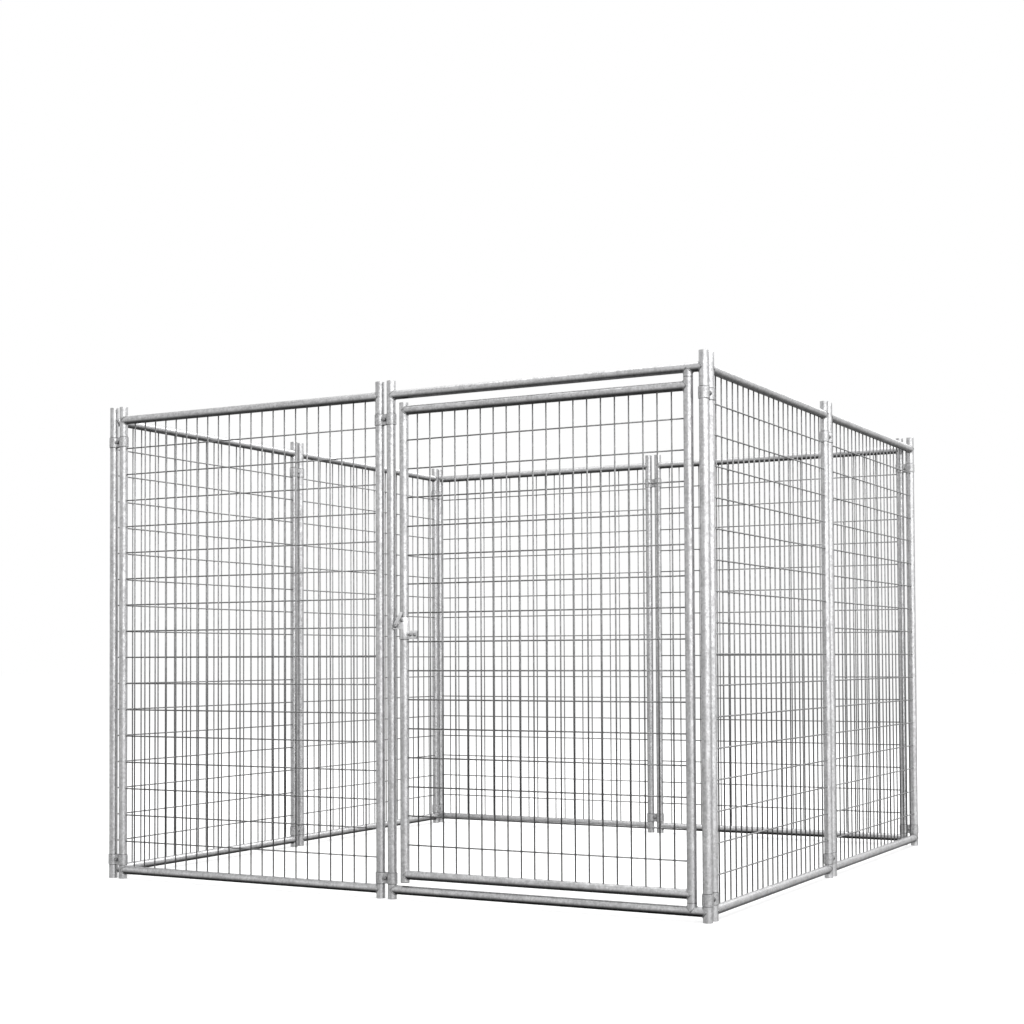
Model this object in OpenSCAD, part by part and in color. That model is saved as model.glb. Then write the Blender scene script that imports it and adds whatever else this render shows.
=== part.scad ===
// Outdoor dog kennel run: eight welded-wire panels clamped into a square pen, one of them a gate.
// Millimetres, Z up. The ground is z = 0, the pen is centred on the origin and the gate faces -Y.
// Every side is the same two-panel row, turned a quarter turn, so that each corner overlaps alike.

/* [Panels] */

// Height of every post
post_height = 1829; // [1600:1:2000]

// Centre distance of the two posts of a panel
post_pitch = 1187; // [1000:1:1300]

// Outside diameter of posts, rails and gate tubes
tube_d = 32; // [30:0.5:34]

// Wall of the tubes
tube_wall = 1.5; // [1.2:0.1:2]

// Post ends above the top rail's centre
post_rise = 52; // [40:1:70]

// Bottom rail's centre above the ground
rail_lift = 33; // [26:1:60]

/* [Wire mesh] */

// Wire diameter
wire_d = 5; // [4:0.1:6]

// Spacing of the upright wires
upright_pitch = 50.8; // [45:0.1:60]

// Spacing of the cross wires
cross_pitch = 101.6; // [98:0.1:110]

// Least distance from a post's centre to the first upright wire
upright_edge = 55; // [54:1:58]

// Least distance from a rail's centre to the first cross wire
cross_edge = 80; // [76:1:90]

/* [Panel clamps] */

// Clear gap between two clamped posts
pair_gap = 16; // [15:1:22]

// Height of a clamp
clamp_height = 38; // [30:1:42]

// Thickness of the clamp strip
clamp_t = 2.5; // [2:0.1:3]

// Height of a clamp above the wire or rail below it
clamp_lift = 4; // [3:0.5:8]

// Distance from the edge of a clamp half to the panel's middle plane
clamp_split = 6; // [5:0.5:8]

// Shank diameter of the clamp bolts
clamp_bolt_d = 8; // [6:0.5:10]

// Head diameter of the clamp bolts
clamp_head_d = 14; // [12:0.5:14]

// Head height of the clamp bolts
clamp_head_h = 4.5; // [3:0.1:5]

// Width across flats of the clamp nuts
clamp_nut_w = 13; // [12:0.5:14]

// Height of the clamp nuts
clamp_nut_h = 6.5; // [5:0.1:8]

// Bolt end standing out of its nut
bolt_tail = 3; // [1:0.5:5]

/* [Gate leaf] */

// Clear gap between the post and the latch stile
latch_side_gap = 21; // [20:0.5:26]

// Clear gap between the hinge stile and its post
hinge_side_gap = 22; // [20:0.5:28]

// Gate top rail's centre below the frame's top rail
gate_drop = 58; // [56:1:70]

// Gate bottom rail's centre above the frame's bottom rail
gate_lift = 54; // [52:1:66]

// Stile ends above the gate's top rail
stile_rise = 28; // [22:1:30]

// Stile ends below the gate's bottom rail
stile_foot = 27; // [22:1:29]

// Reach of a hinge pin into the stile
pin_reach = 45; // [30:1:60]

// Gap between a hinge stub and the stile
hinge_gap = 0.5; // [0.2:0.1:2]

// Running clearance around a hinge pin
pin_clear = 0.1; // [0.05:0.01:0.1]

/* [Fork latch] */

// Thickness of the latch band
band_t = 2.5; // [2:0.1:3]

// Band above the cross wire below it
band_lift = 7; // [5:0.5:8]

// Height of the band's tails
tail_height = 30; // [26:1:32]

// Distance from a tail to the gate's middle plane
tail_split = 1.2; // [0.8:0.1:1.8]

// Gap between the tail's end and the first upright wire
tail_clear = 3; // [2:0.5:5]

// Distance from a tail bolt to the tail's end, and from the tube to the other bolt
tail_bolt_edge = 9; // [8:0.5:10]

// Shank diameter of the band's bolts
band_bolt_d = 6; // [5:0.5:6]

// Head diameter of the band's bolts
band_head_d = 12; // [11:0.5:13]

// Head height of the band's bolts
band_head_h = 4; // [3:0.1:4.5]

// Width across flats of the band's nuts
band_nut_w = 10; // [9:0.5:10]

// Height of the band's nuts
band_nut_h = 5; // [4:0.1:5.5]

// Fork's turning bolt above the band's lower edge
pivot_rise = 46; // [43:0.5:46]

// Shank diameter of the fork's bolt
fork_bolt_d = 8; // [6:0.5:8]

// Head diameter of the fork's bolt
fork_head_d = 14; // [12:0.5:14]

// Head height of the fork's bolt
fork_head_h = 4; // [3:0.1:4.5]

// Width across flats of the fork's nut
fork_nut_w = 13; // [12:0.5:13]

// Height of the fork's nut
fork_nut_h = 6; // [5:0.1:6.5]

// Half height of the band's ears
ear_r = 8; // [7.5:0.1:8]

// Width of a fork prong
prong_w = 14; // [12:0.5:14.5]

// Thickness of a fork prong
prong_t = 3; // [2.5:0.1:3.5]

// Prong beyond the far side of the post when latched
prong_over = 14; // [8:0.5:16]

// Lean of the lifted fork past upright, in degrees
fork_lean = 30; // [28:1:32]

// Side play between a prong and its ear
prong_play = 0.3; // [0.2:0.05:0.6]

// Size of the lug that the lowered fork rests on
lug_size = 4; // [3:0.5:5]

// Band above the cross bolt's centre
band_top_edge = 11; // [9:0.5:11]

/* [Hidden] */

$fn = 64;

// Clearance of welded, clamped and bolted joints
join_gap = 0.05;

// Clearance between a bolt and the hole that it turns in
turn_gap = 0.1;

// Step that keeps an ear's faces off the band's round faces
ear_step = 0.1;

// Distance from a frame rail's centre to the lip of a coped hinge stub
stub_lip = 4;

// Overlap of a cutter past the face that it cuts
cut = 1;

tube_r = tube_d / 2;
bore_d = tube_d - 2 * tube_wall;
pair = tube_d + pair_gap;
reach = post_pitch + pair;
top_z = post_height - post_rise;

// Number of wires, and the first wire, between two tube centres
function wire_count(span, edge, pitch) = floor((span - 2 * edge) / pitch) + 1;
function wire_start(span, edge, pitch) = (span - (wire_count(span, edge, pitch) - 1) * pitch) / 2;

rail_span = top_z - rail_lift;
cross_first = wire_start(rail_span, cross_edge, cross_pitch);
layer_y = (wire_d + join_gap) / 2;

// Clamps: heights of the lower edge, radii of the saddles, and the outer face of the web between them
clamp_low_z = rail_lift + tube_r + clamp_lift;
clamp_high_z = top_z - cross_first + wire_d / 2 + clamp_lift;
clamp_ri = tube_r + join_gap;
clamp_ro = clamp_ri + clamp_t;
web_face = clamp_split + clamp_t;
clamp_bolt_l = 2 * web_face + clamp_nut_h + bolt_tail;

// Gate: tube centres
latch_x = pair + tube_d + latch_side_gap;
hinge_x = reach - tube_d - hinge_side_gap;
gate_span = hinge_x - latch_x;
gate_top_z = top_z - gate_drop;
gate_low_z = rail_lift + gate_lift;
gate_height = gate_top_z - gate_low_z;
stile_top = gate_top_z + stile_rise;
stile_low = gate_low_z - stile_foot;
pin_d = bore_d - 2 * pin_clear;

// Latch: heights, and distances from the latch stile's centre
gate_cross_first = wire_start(gate_height, cross_edge, cross_pitch);
latch_wire = floor(wire_count(gate_height, cross_edge, cross_pitch) / 2);
band_z = gate_low_z + gate_cross_first + latch_wire * cross_pitch + wire_d / 2 + band_lift;
band_ri = tube_r + join_gap;
band_ro = band_ri + band_t;
pivot_x = -(tube_r + latch_side_gap / 2);
pivot_z = band_z + pivot_rise;
prong_r = prong_w / 2;
stop_reach = prong_r + band_head_d / 2 + prong_play;
stop_rise = (-pivot_x * cos(fork_lean) - stop_reach) / sin(fork_lean);
cross_z = pivot_z + stop_rise;
band_top = cross_z + band_top_edge;
tail_end = wire_start(gate_span, upright_edge, upright_pitch) - wire_d / 2 - tail_clear;
tail_bolt_x = [tube_r + tail_bolt_edge, tail_end - tail_bolt_edge];
tail_bolt_z = band_z + tail_height / 2;
prong_y = band_ro + prong_play;
prong_l = latch_side_gap / 2 + tube_d + prong_over;
fork_turn = 90 + fork_lean;
fork_bolt_l = 2 * (prong_y + prong_t) + fork_nut_h + bolt_tail;
cross_bolt_l = 2 * band_ro + band_nut_h + bolt_tail;
tail_bolt_l = 2 * (tail_split + band_t) + band_nut_h + bolt_tail;

// Plain panels: side of the pen, start along that side, side of the uprights (1 is outside)
front_left = [0, -post_pitch, 1];
front_right = [0, pair, 1];
right_front = [1, -post_pitch, -1];
right_back = [1, pair, -1];
back_right = [2, -post_pitch, 1];
back_left = [2, pair, 1];
left_back = [3, -post_pitch, 1];
left_front = [3, pair, 1];

PANELS = ["front_left", "right_front", "right_back", "back_right", "back_left", "left_back", "left_front"];
PIECES = ["post_a", "post_b", "top_rail", "bottom_rail", "mesh"];
FRAME = ["gate_post_latch", "gate_post_hinge", "gate_frame_top_rail", "gate_frame_bottom_rail"];
LEAF = ["leaf_latch_stile", "leaf_hinge_stile", "leaf_top_rail", "leaf_bottom_rail", "leaf_mesh"];
HINGE = ["hinge_stubs", "hinge_pins"];
BAND = ["latch_band_front", "latch_band_back", "latch_tail_bolts", "latch_cross_bolt", "latch_band_nuts"];
FORK = ["fork_prong_front", "fork_prong_back", "fork_bolt", "fork_nut"];
CLAMPS = ["clamp_outer_halves", "clamp_inner_halves", "clamp_bolts", "clamp_nuts"];

// Piece to draw, or all of them

zinc = [0.66, 0.68, 0.70];
wire_zinc = [0.60, 0.62, 0.64];
plated = [0.74, 0.75, 0.77];

// Placement

module on_side(side, x) {
    rotate([0, 0, 90 * side])
        translate([x, -reach, 0])
            children();
}

module on_panel(p) {
    on_side(p[0], p[1])
        children();
}

module at_latch() {
    on_side(0, latch_x)
        children();
}

module at_pivot() {
    at_latch()
        translate([pivot_x, 0, pivot_z])
            children();
}

module at_clamps() {
    for (side = [0:3])
        for (x = [pair / 2, -post_pitch - pair / 2])
            for (z = [clamp_low_z, clamp_high_z])
                on_side(side, x)
                    translate([0, 0, z])
                        children();
}

// Tubes and wires

module tube(length) {
    difference() {
        cylinder(d = tube_d, h = length);
        translate([0, 0, -cut])
            cylinder(d = bore_d, h = length + 2 * cut);
    }
}

module cope() {
    translate([0, 0, -tube_d])
        cylinder(d = tube_d + 2 * join_gap, h = 2 * tube_d);
}

module rail(span) {
    difference() {
        rotate([0, 90, 0])
            tube(span);
        cope();
        translate([span, 0, 0])
            cope();
    }
}

module wires(width, height, side) {
    across = wire_count(width, upright_edge, upright_pitch);
    start = wire_start(width, upright_edge, upright_pitch);
    rows = wire_count(height, cross_edge, cross_pitch);
    first = wire_start(height, cross_edge, cross_pitch);
    inset = tube_r + join_gap;
    for (i = [0:across - 1])
        translate([start + i * upright_pitch, -side * layer_y, inset])
            cylinder(d = wire_d, h = height - 2 * inset);
    for (j = [0:rows - 1])
        translate([inset, side * layer_y, first + j * cross_pitch])
            rotate([0, 90, 0])
                cylinder(d = wire_d, h = width - 2 * inset);
}

// Fasteners stand on their head, along +Z

module bolt(d, head_d, head_h, length) {
    cylinder(d = d, h = length);
    translate([0, 0, -head_h / 2])
        cylinder(d = head_d, h = head_h / 2);
    translate([0, 0, -head_h])
        cylinder(d1 = head_d - head_h, d2 = head_d, h = head_h / 2);
}

module nut(width, height, bolt_d) {
    difference() {
        rotate([0, 0, 30])
            cylinder(d = width / cos(30), h = height, $fn = 6);
        translate([0, 0, -cut])
            cylinder(d = bolt_d + 2 * join_gap, h = height + 2 * cut);
    }
}

// Panel frames

module post_a(p) {
    color(zinc)
        on_panel(p)
            tube(post_height);
}

module post_b(p) {
    color(zinc)
        on_panel(p)
            translate([post_pitch, 0, 0])
                tube(post_height);
}

module top_rail(p) {
    color(zinc)
        on_panel(p)
            translate([0, 0, top_z])
                rail(post_pitch);
}

module bottom_rail(p) {
    color(zinc)
        on_panel(p)
            translate([0, 0, rail_lift])
                rail(post_pitch);
}

module mesh(p) {
    color(wire_zinc)
        on_panel(p)
            translate([0, 0, rail_lift])
                wires(post_pitch, rail_span, p[2]);
}

// Gate leaf

module leaf_latch_stile() {
    color(zinc)
        at_latch()
            difference() {
                translate([0, 0, stile_low])
                    tube(stile_top - stile_low);
                translate([0, tube_d, cross_z])
                    rotate([90, 0, 0])
                        cylinder(d = band_bolt_d + 2 * join_gap, h = 2 * tube_d);
            }
}

module leaf_hinge_stile() {
    color(zinc)
        on_side(0, hinge_x)
            translate([0, 0, stile_low])
                tube(stile_top - stile_low);
}

module leaf_top_rail() {
    color(zinc)
        at_latch()
            translate([0, 0, gate_top_z])
                rail(gate_span);
}

module leaf_bottom_rail() {
    color(zinc)
        at_latch()
            translate([0, 0, gate_low_z])
                rail(gate_span);
}

module leaf_mesh() {
    color(wire_zinc)
        at_latch()
            translate([0, 0, gate_low_z])
                wires(gate_span, gate_height, 1);
}

// Hinge: a stub on each frame rail, and the pin that runs from it into the stile

module stub(rail_z, end_z) {
    start_z = rail_z + sign(end_z - rail_z) * stub_lip;
    difference() {
        translate([0, 0, min(start_z, end_z)])
            tube(abs(end_z - start_z));
        translate([-tube_d, 0, rail_z])
            rotate([0, 90, 0])
                cylinder(d = tube_d + 2 * join_gap, h = 2 * tube_d);
    }
}

module hinge_stubs() {
    color(zinc)
        on_side(0, hinge_x) {
            stub(top_z, stile_top + hinge_gap);
            stub(rail_lift, stile_low - hinge_gap);
        }
}

module hinge_pins() {
    pin_top = top_z - tube_r - join_gap;
    pin_low = rail_lift + tube_r + join_gap;
    color(plated)
        on_side(0, hinge_x) {
            translate([0, 0, stile_top - pin_reach])
                cylinder(d = pin_d, h = pin_top - stile_top + pin_reach);
            translate([0, 0, pin_low])
                cylinder(d = pin_d, h = stile_low + pin_reach - pin_low);
        }
}

// Latch band: one half, on the -Y side of the stile

module band_shell() {
    intersection() {
        difference() {
            cylinder(r = band_ro, h = band_top - band_z);
            translate([0, 0, -cut])
                cylinder(r = band_ri, h = band_top - band_z + 2 * cut);
        }
        translate([-tube_d, -tube_d, -cut])
            cube([2 * tube_d, tube_d - tail_split, band_top - band_z + 2 * cut]);
    }
}

module band_ear() {
    ear_t = band_t - 2 * ear_step;
    ear_low = prong_r + prong_play + lug_size;
    translate([pivot_x, -band_ri - ear_step, pivot_rise])
        rotate([90, 0, 0])
            cylinder(r = ear_r, h = ear_t);
    translate([pivot_x, -band_ro + ear_step, pivot_rise])
        cube([tube_r / 4 - pivot_x, ear_t, ear_r]);
    translate([pivot_x - ear_r, -band_ro + ear_step, pivot_rise - ear_low])
        cube([ear_r + tube_r / 4 - pivot_x, ear_t, ear_low]);
    translate([pivot_x - ear_r, -prong_y - prong_t, pivot_rise - ear_low])
        cube([lug_size, prong_y + prong_t - band_ro + band_t / 2, lug_size]);
}

module band_half() {
    difference() {
        union() {
            band_shell();
            band_ear();
            translate([tube_r + band_t / 2, -tail_split - band_t, 0])
                cube([tail_end - tube_r - band_t / 2, band_t, tail_height]);
        }
        translate([pivot_x, 0, pivot_rise])
            rotate([90, 0, 0])
                cylinder(d = fork_bolt_d + 2 * turn_gap, h = tube_d);
        translate([0, 0, cross_z - band_z])
            rotate([90, 0, 0])
                cylinder(d = band_bolt_d + 2 * join_gap, h = tube_d);
        for (x = tail_bolt_x)
            translate([x, 0, tail_bolt_z - band_z])
                rotate([90, 0, 0])
                    cylinder(d = band_bolt_d + 2 * join_gap, h = tube_d);
    }
}

module latch_band_front() {
    color(plated)
        at_latch()
            translate([0, 0, band_z])
                band_half();
}

module latch_band_back() {
    color(plated)
        at_latch()
            translate([0, 0, band_z])
                mirror([0, 1, 0])
                    band_half();
}

module latch_tail_bolts() {
    color(plated)
        at_latch()
            for (x = tail_bolt_x)
                translate([x, -tail_split - band_t, tail_bolt_z])
                    rotate([-90, 0, 0])
                        bolt(band_bolt_d, band_head_d, band_head_h, tail_bolt_l);
}

module latch_cross_bolt() {
    color(plated)
        at_latch()
            translate([0, -band_ro, cross_z])
                rotate([-90, 0, 0])
                    bolt(band_bolt_d, band_head_d, band_head_h, cross_bolt_l);
}

module latch_band_nuts() {
    color(plated)
        at_latch() {
            for (x = tail_bolt_x)
                translate([x, tail_split + band_t, tail_bolt_z])
                    rotate([-90, 0, 0])
                        nut(band_nut_w, band_nut_h, band_bolt_d);
            translate([0, band_ro, cross_z])
                rotate([-90, 0, 0])
                    nut(band_nut_w, band_nut_h, band_bolt_d);
        }
}

// Fork: drawn lowered on the post, then lifted clear and leaned on the cross bolt

module prong() {
    difference() {
        union() {
            rotate([90, 0, 0])
                cylinder(r = prong_r, h = prong_t);
            translate([-prong_l + prong_r, -prong_t, -prong_r])
                cube([prong_l - prong_r, prong_t, prong_w]);
            translate([-prong_l + prong_r, 0, 0])
                rotate([90, 0, 0])
                    cylinder(r = prong_r, h = prong_t);
        }
        translate([0, cut, 0])
            rotate([90, 0, 0])
                cylinder(d = fork_bolt_d + 2 * join_gap, h = prong_t + 2 * cut);
    }
}

module fork_prong_front() {
    color(plated)
        at_pivot()
            rotate([0, fork_turn, 0])
                translate([0, -prong_y, 0])
                    prong();
}

module fork_prong_back() {
    color(plated)
        at_pivot()
            rotate([0, fork_turn, 0])
                translate([0, prong_y + prong_t, 0])
                    prong();
}

module fork_bolt() {
    color(plated)
        at_pivot()
            translate([0, -prong_y - prong_t, 0])
                rotate([-90, 0, 0])
                    bolt(fork_bolt_d, fork_head_d, fork_head_h, fork_bolt_l);
}

module fork_nut() {
    color(plated)
        at_pivot()
            translate([0, prong_y + prong_t, 0])
                rotate([-90, 0, 0])
                    nut(fork_nut_w, fork_nut_h, fork_bolt_d);
}

// Panel clamps: one half, on the -Y side of two posts that stand along X

module at_posts() {
    for (x = [-pair / 2, pair / 2])
        translate([x, 0, 0])
            children();
}

module clamp_half() {
    difference() {
        union() {
            at_posts()
                cylinder(r = clamp_ro, h = clamp_height);
            translate([-pair / 2, -web_face, 0])
                cube([pair, web_face, clamp_height]);
        }
        at_posts()
            translate([0, 0, -cut])
                cylinder(r = clamp_ri, h = clamp_height + 2 * cut);
        translate([-pair, -clamp_split, -cut])
            cube([2 * pair, pair, clamp_height + 2 * cut]);
        translate([0, 0, clamp_height / 2])
            rotate([90, 0, 0])
                cylinder(d = clamp_bolt_d + 2 * join_gap, h = tube_d);
    }
}

module clamp_outer_halves() {
    color(plated)
        at_clamps()
            clamp_half();
}

module clamp_inner_halves() {
    color(plated)
        at_clamps()
            mirror([0, 1, 0])
                clamp_half();
}

module clamp_bolts() {
    color(plated)
        at_clamps()
            translate([0, web_face, clamp_height / 2])
                rotate([90, 0, 0])
                    bolt(clamp_bolt_d, clamp_head_d, clamp_head_h, clamp_bolt_l);
}

module clamp_nuts() {
    color(plated)
        at_clamps()
            translate([0, -web_face, clamp_height / 2])
                rotate([90, 0, 0])
                    nut(clamp_nut_w, clamp_nut_h, clamp_bolt_d);
}

// Assembly

post_a(front_left);  // front_left_post_a
post_b(front_left);  // front_left_post_b
top_rail(front_left);  // front_left_top_rail
bottom_rail(front_left);  // front_left_bottom_rail
mesh(front_left);  // front_left_mesh
post_a(right_front);  // right_front_post_a
post_b(right_front);  // right_front_post_b
top_rail(right_front);  // right_front_top_rail
bottom_rail(right_front);  // right_front_bottom_rail
mesh(right_front);  // right_front_mesh
post_a(right_back);  // right_back_post_a
post_b(right_back);  // right_back_post_b
top_rail(right_back);  // right_back_top_rail
bottom_rail(right_back);  // right_back_bottom_rail
mesh(right_back);  // right_back_mesh
post_a(back_right);  // back_right_post_a
post_b(back_right);  // back_right_post_b
top_rail(back_right);  // back_right_top_rail
bottom_rail(back_right);  // back_right_bottom_rail
mesh(back_right);  // back_right_mesh
post_a(back_left);  // back_left_post_a
post_b(back_left);  // back_left_post_b
top_rail(back_left);  // back_left_top_rail
bottom_rail(back_left);  // back_left_bottom_rail
mesh(back_left);  // back_left_mesh
post_a(left_back);  // left_back_post_a
post_b(left_back);  // left_back_post_b
top_rail(left_back);  // left_back_top_rail
bottom_rail(left_back);  // left_back_bottom_rail
mesh(left_back);  // left_back_mesh
post_a(left_front);  // left_front_post_a
post_b(left_front);  // left_front_post_b
top_rail(left_front);  // left_front_top_rail
bottom_rail(left_front);  // left_front_bottom_rail
mesh(left_front);  // left_front_mesh
post_a(front_right);  // gate_post_latch
post_b(front_right);  // gate_post_hinge
top_rail(front_right);  // gate_frame_top_rail
bottom_rail(front_right);  // gate_frame_bottom_rail
leaf_latch_stile();
leaf_hinge_stile();
leaf_top_rail();
leaf_bottom_rail();
leaf_mesh();
hinge_stubs();
hinge_pins();
latch_band_front();
latch_band_back();
latch_tail_bolts();
latch_cross_bolt();
latch_band_nuts();
fork_prong_front();
fork_prong_back();
fork_bolt();
fork_nut();
clamp_outer_halves();
clamp_inner_halves();
clamp_bolts();
clamp_nuts();
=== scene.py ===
"""Dresses the outdoor dog kennel run: zinc-coated tube panels, welded wire, a pin-hung gate and its latch.

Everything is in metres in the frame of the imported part: Z is up, the ground is z = 0 and the gate faces -Y.
"""
import logging
import math
import random
from collections.abc import Callable, Iterable, Sequence
from dataclasses import dataclass, field, replace
from enum import Enum

import bmesh
import bpy
from mathutils import Euler, Matrix, Vector


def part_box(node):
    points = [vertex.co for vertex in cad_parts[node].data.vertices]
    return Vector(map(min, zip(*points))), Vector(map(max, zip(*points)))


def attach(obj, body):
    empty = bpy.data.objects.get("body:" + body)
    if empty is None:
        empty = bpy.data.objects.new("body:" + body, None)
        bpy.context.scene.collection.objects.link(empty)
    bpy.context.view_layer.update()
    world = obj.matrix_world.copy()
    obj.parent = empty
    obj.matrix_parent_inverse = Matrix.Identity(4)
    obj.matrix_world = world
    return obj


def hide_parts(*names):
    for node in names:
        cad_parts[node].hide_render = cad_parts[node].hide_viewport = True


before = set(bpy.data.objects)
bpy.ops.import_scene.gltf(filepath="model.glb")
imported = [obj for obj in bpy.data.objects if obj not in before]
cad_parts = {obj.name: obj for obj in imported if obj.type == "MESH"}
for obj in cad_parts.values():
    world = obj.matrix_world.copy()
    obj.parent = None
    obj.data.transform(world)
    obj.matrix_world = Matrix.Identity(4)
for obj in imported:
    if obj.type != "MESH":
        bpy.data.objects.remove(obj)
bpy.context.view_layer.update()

MM = 0.001
SMOOTH_ANGLE = math.radians(32)
UP = Vector((0, 0, 1))
Edge = Callable[[float, float], float]
Place = tuple[Vector, Euler]
log = logging.getLogger("kennel_run")
grain_places = random.Random(11)


class Body(Enum):
    """The rigid bodies of the run."""

    PEN = "pen"
    GATE = "gate"
    FORK = "fork"


class Slot(Enum):
    """The material slots of the record."""

    TUBE = "galvanised_tube"
    WIRE = "mesh_wire"
    FITTING = "plated_fittings"


class Pattern(Enum):
    """Where a finish takes the place of its pattern from."""

    GRAIN = "grain"
    PLACE = "place"


class Graph:
    """A node tree with short ways to add nodes and join them."""

    def __init__(self, tree: bpy.types.NodeTree) -> None:
        """Starts with an emptied tree."""
        self.tree = tree
        tree.nodes.clear()

    def add(self, kind: str, inputs: dict | None = None, **settings: object) -> bpy.types.Node:
        """Adds a node.

        Args:
            kind: Blender's name for the type of node.
            inputs: values, or sockets to link from, by the input's name or number.
            settings: other properties of the node.

        Returns:
            The new node.
        """
        node = self.tree.nodes.new(kind)
        for name, value in settings.items():
            setattr(node, name, value)
        for key, value in (inputs or {}).items():
            if isinstance(value, bpy.types.NodeSocket):
                self.tree.links.new(value, node.inputs[key])
            else:
                node.inputs[key].default_value = value
        return node

    def sum(self, operation: str, *values: object) -> bpy.types.NodeSocket:
        """Adds a Math node.

        Args:
            operation: name of the sum, such as MULTIPLY.
            values: its numbers or sockets, in order.

        Returns:
            The socket with the result.
        """
        return self.add("ShaderNodeMath", dict(enumerate(values)), operation=operation).outputs[0]

    def vector(self, x: object, y: object, z: object) -> bpy.types.NodeSocket:
        """Joins three numbers or sockets to a vector socket."""
        return self.add("ShaderNodeCombineXYZ", {0: x, 1: y, 2: z}).outputs[0]


@dataclass(frozen=True)
class ZincFinish:
    """A zinc coat with crystals, dull patches and runs along the piece.

    Attributes:
        name: name of the material.
        dark: grey of its dullest spots.
        light: grey of its brightest spots.
        crystal: width of a zinc crystal.
        patch: width of a dull patch.
        stretch: length of a run over its width.
        roughness: least and greatest roughness.
        skin: height of the uneven skin.
        pattern: what the pattern follows.
        metal: share of the coat that shines as bare metal; the rest is matt.
        shade_lines: heights of its bands of painted shade, which stand in for shade at clamp rims, gaps and
            rail undersides.
        shade_line_width: width of such a band.
        shade_line_share: share of the grey that is left in it.
        shares: how much of the tone comes from crystals, patches and runs.
        tones: tone of the dullest and of the brightest spots.
        blue: blue of the coat over its grey.
    """

    name: str
    dark: float
    light: float
    crystal: float
    patch: float
    stretch: float
    roughness: tuple[float, float]
    skin: float
    pattern: Pattern = Pattern.PLACE
    metal: float = 1.0
    shade_lines: tuple[float, ...] = ()
    shade_line_width: float = 3.4 * MM
    shade_line_share: float = 0.3
    shares: tuple[float, float, float] = (0.22, 0.5, 0.5)
    tones: tuple[float, float] = (0.45, 0.9)
    blue: float = 1.01

    def material(self) -> bpy.types.Material:
        """Makes the material, or finds it where it is made already.

        Returns:
            The material.
        """
        if self.name in bpy.data.materials:
            return bpy.data.materials[self.name]
        made = bpy.data.materials.new(self.name)
        made.use_nodes = True
        graph = Graph(made.node_tree)
        if self.pattern is Pattern.GRAIN:
            place = graph.add("ShaderNodeAttribute", attribute_name="grain").outputs["Vector"]
        else:
            place = graph.add("ShaderNodeTexCoord").outputs["Object"]
        crystals = graph.add("ShaderNodeTexVoronoi", {"Vector": place, "Scale": 1 / self.crystal})
        cell = graph.add("ShaderNodeSeparateColor", {0: crystals.outputs["Color"]}).outputs[0]
        patches = graph.add(
            "ShaderNodeTexNoise",
            {"Vector": place, "Scale": 1 / self.patch, "Detail": 4.0, "Roughness": 0.62},
        ).outputs[0]
        drawn = graph.add("ShaderNodeMapping", {"Vector": place, "Scale": (1, 1, 1 / self.stretch)})
        runs = graph.add(
            "ShaderNodeTexNoise",
            {"Vector": drawn.outputs[0], "Scale": 2.5 / self.patch, "Detail": 3.0, "Roughness": 0.55},
        ).outputs[0]
        cell_share, patch_share, run_share = self.shares
        wide = graph.sum("MULTIPLY_ADD", patches, patch_share, graph.sum("MULTIPLY", runs, run_share))
        tone = graph.sum("MULTIPLY_ADD", cell, cell_share, wide)
        ramp = graph.add("ShaderNodeValToRGB", {0: tone})
        for stop, position, grey in zip(ramp.color_ramp.elements, self.tones, (self.dark, self.light)):
            stop.position = position
            stop.color = (grey, grey, grey * self.blue, 1)
        dull, bright = self.tones
        least, greatest = self.roughness
        limits = {0: tone, 1: bright, 2: dull, 3: least, 4: greatest}
        rough = graph.add("ShaderNodeMapRange", limits).outputs[0]
        fine = graph.add(
            "ShaderNodeTexNoise", {"Vector": place, "Scale": 3.0 / self.crystal, "Detail": 2.0}
        ).outputs[0]
        height = graph.sum("MULTIPLY_ADD", cell, 0.35, graph.sum("ADD", fine, patches))
        skin = graph.add("ShaderNodeBump", {"Strength": 0.6, "Distance": self.skin, "Height": height})
        # Painted shade: bands at the finish's given heights darken the colour.
        colour = self.paint_shade_lines(graph, ramp.outputs[0])
        shader = graph.add(
            "ShaderNodeBsdfPrincipled",
            {"Base Color": colour, "Metallic": self.metal, "Roughness": rough, "Normal": skin.outputs[0]},
        )
        graph.add("ShaderNodeOutputMaterial", {"Surface": shader.outputs[0]})
        return made

    def paint_shade_lines(self, graph: Graph, colour: bpy.types.NodeSocket) -> bpy.types.NodeSocket:
        """Paints shade into a colour: darkens it in bands at the given heights.

        Args:
            graph: the material's node tree.
            colour: the colour before the painted shade.

        Returns:
            The colour with its bands of painted shade.
        """
        if not self.shade_lines:
            return colour
        spot = graph.add("ShaderNodeTexCoord").outputs["Object"]
        height = graph.add("ShaderNodeSeparateXYZ", {0: spot}).outputs[2]
        for shade_line in self.shade_lines:
            off = graph.sum("ABSOLUTE", graph.sum("SUBTRACT", height, shade_line))
            edge = {0: off, 1: 0.2 * self.shade_line_width, 2: 0.5 * self.shade_line_width, 3: self.shade_line_share, 4: 1.0}
            left = graph.add("ShaderNodeMapRange", edge).outputs[0]
            scaled = graph.add("ShaderNodeVectorMath", {0: colour, "Scale": left}, operation="SCALE")
            colour = scaled.outputs[0]
        return colour


# Distance from a clamp's or band's rim to the middle of its band of painted shade.
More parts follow.
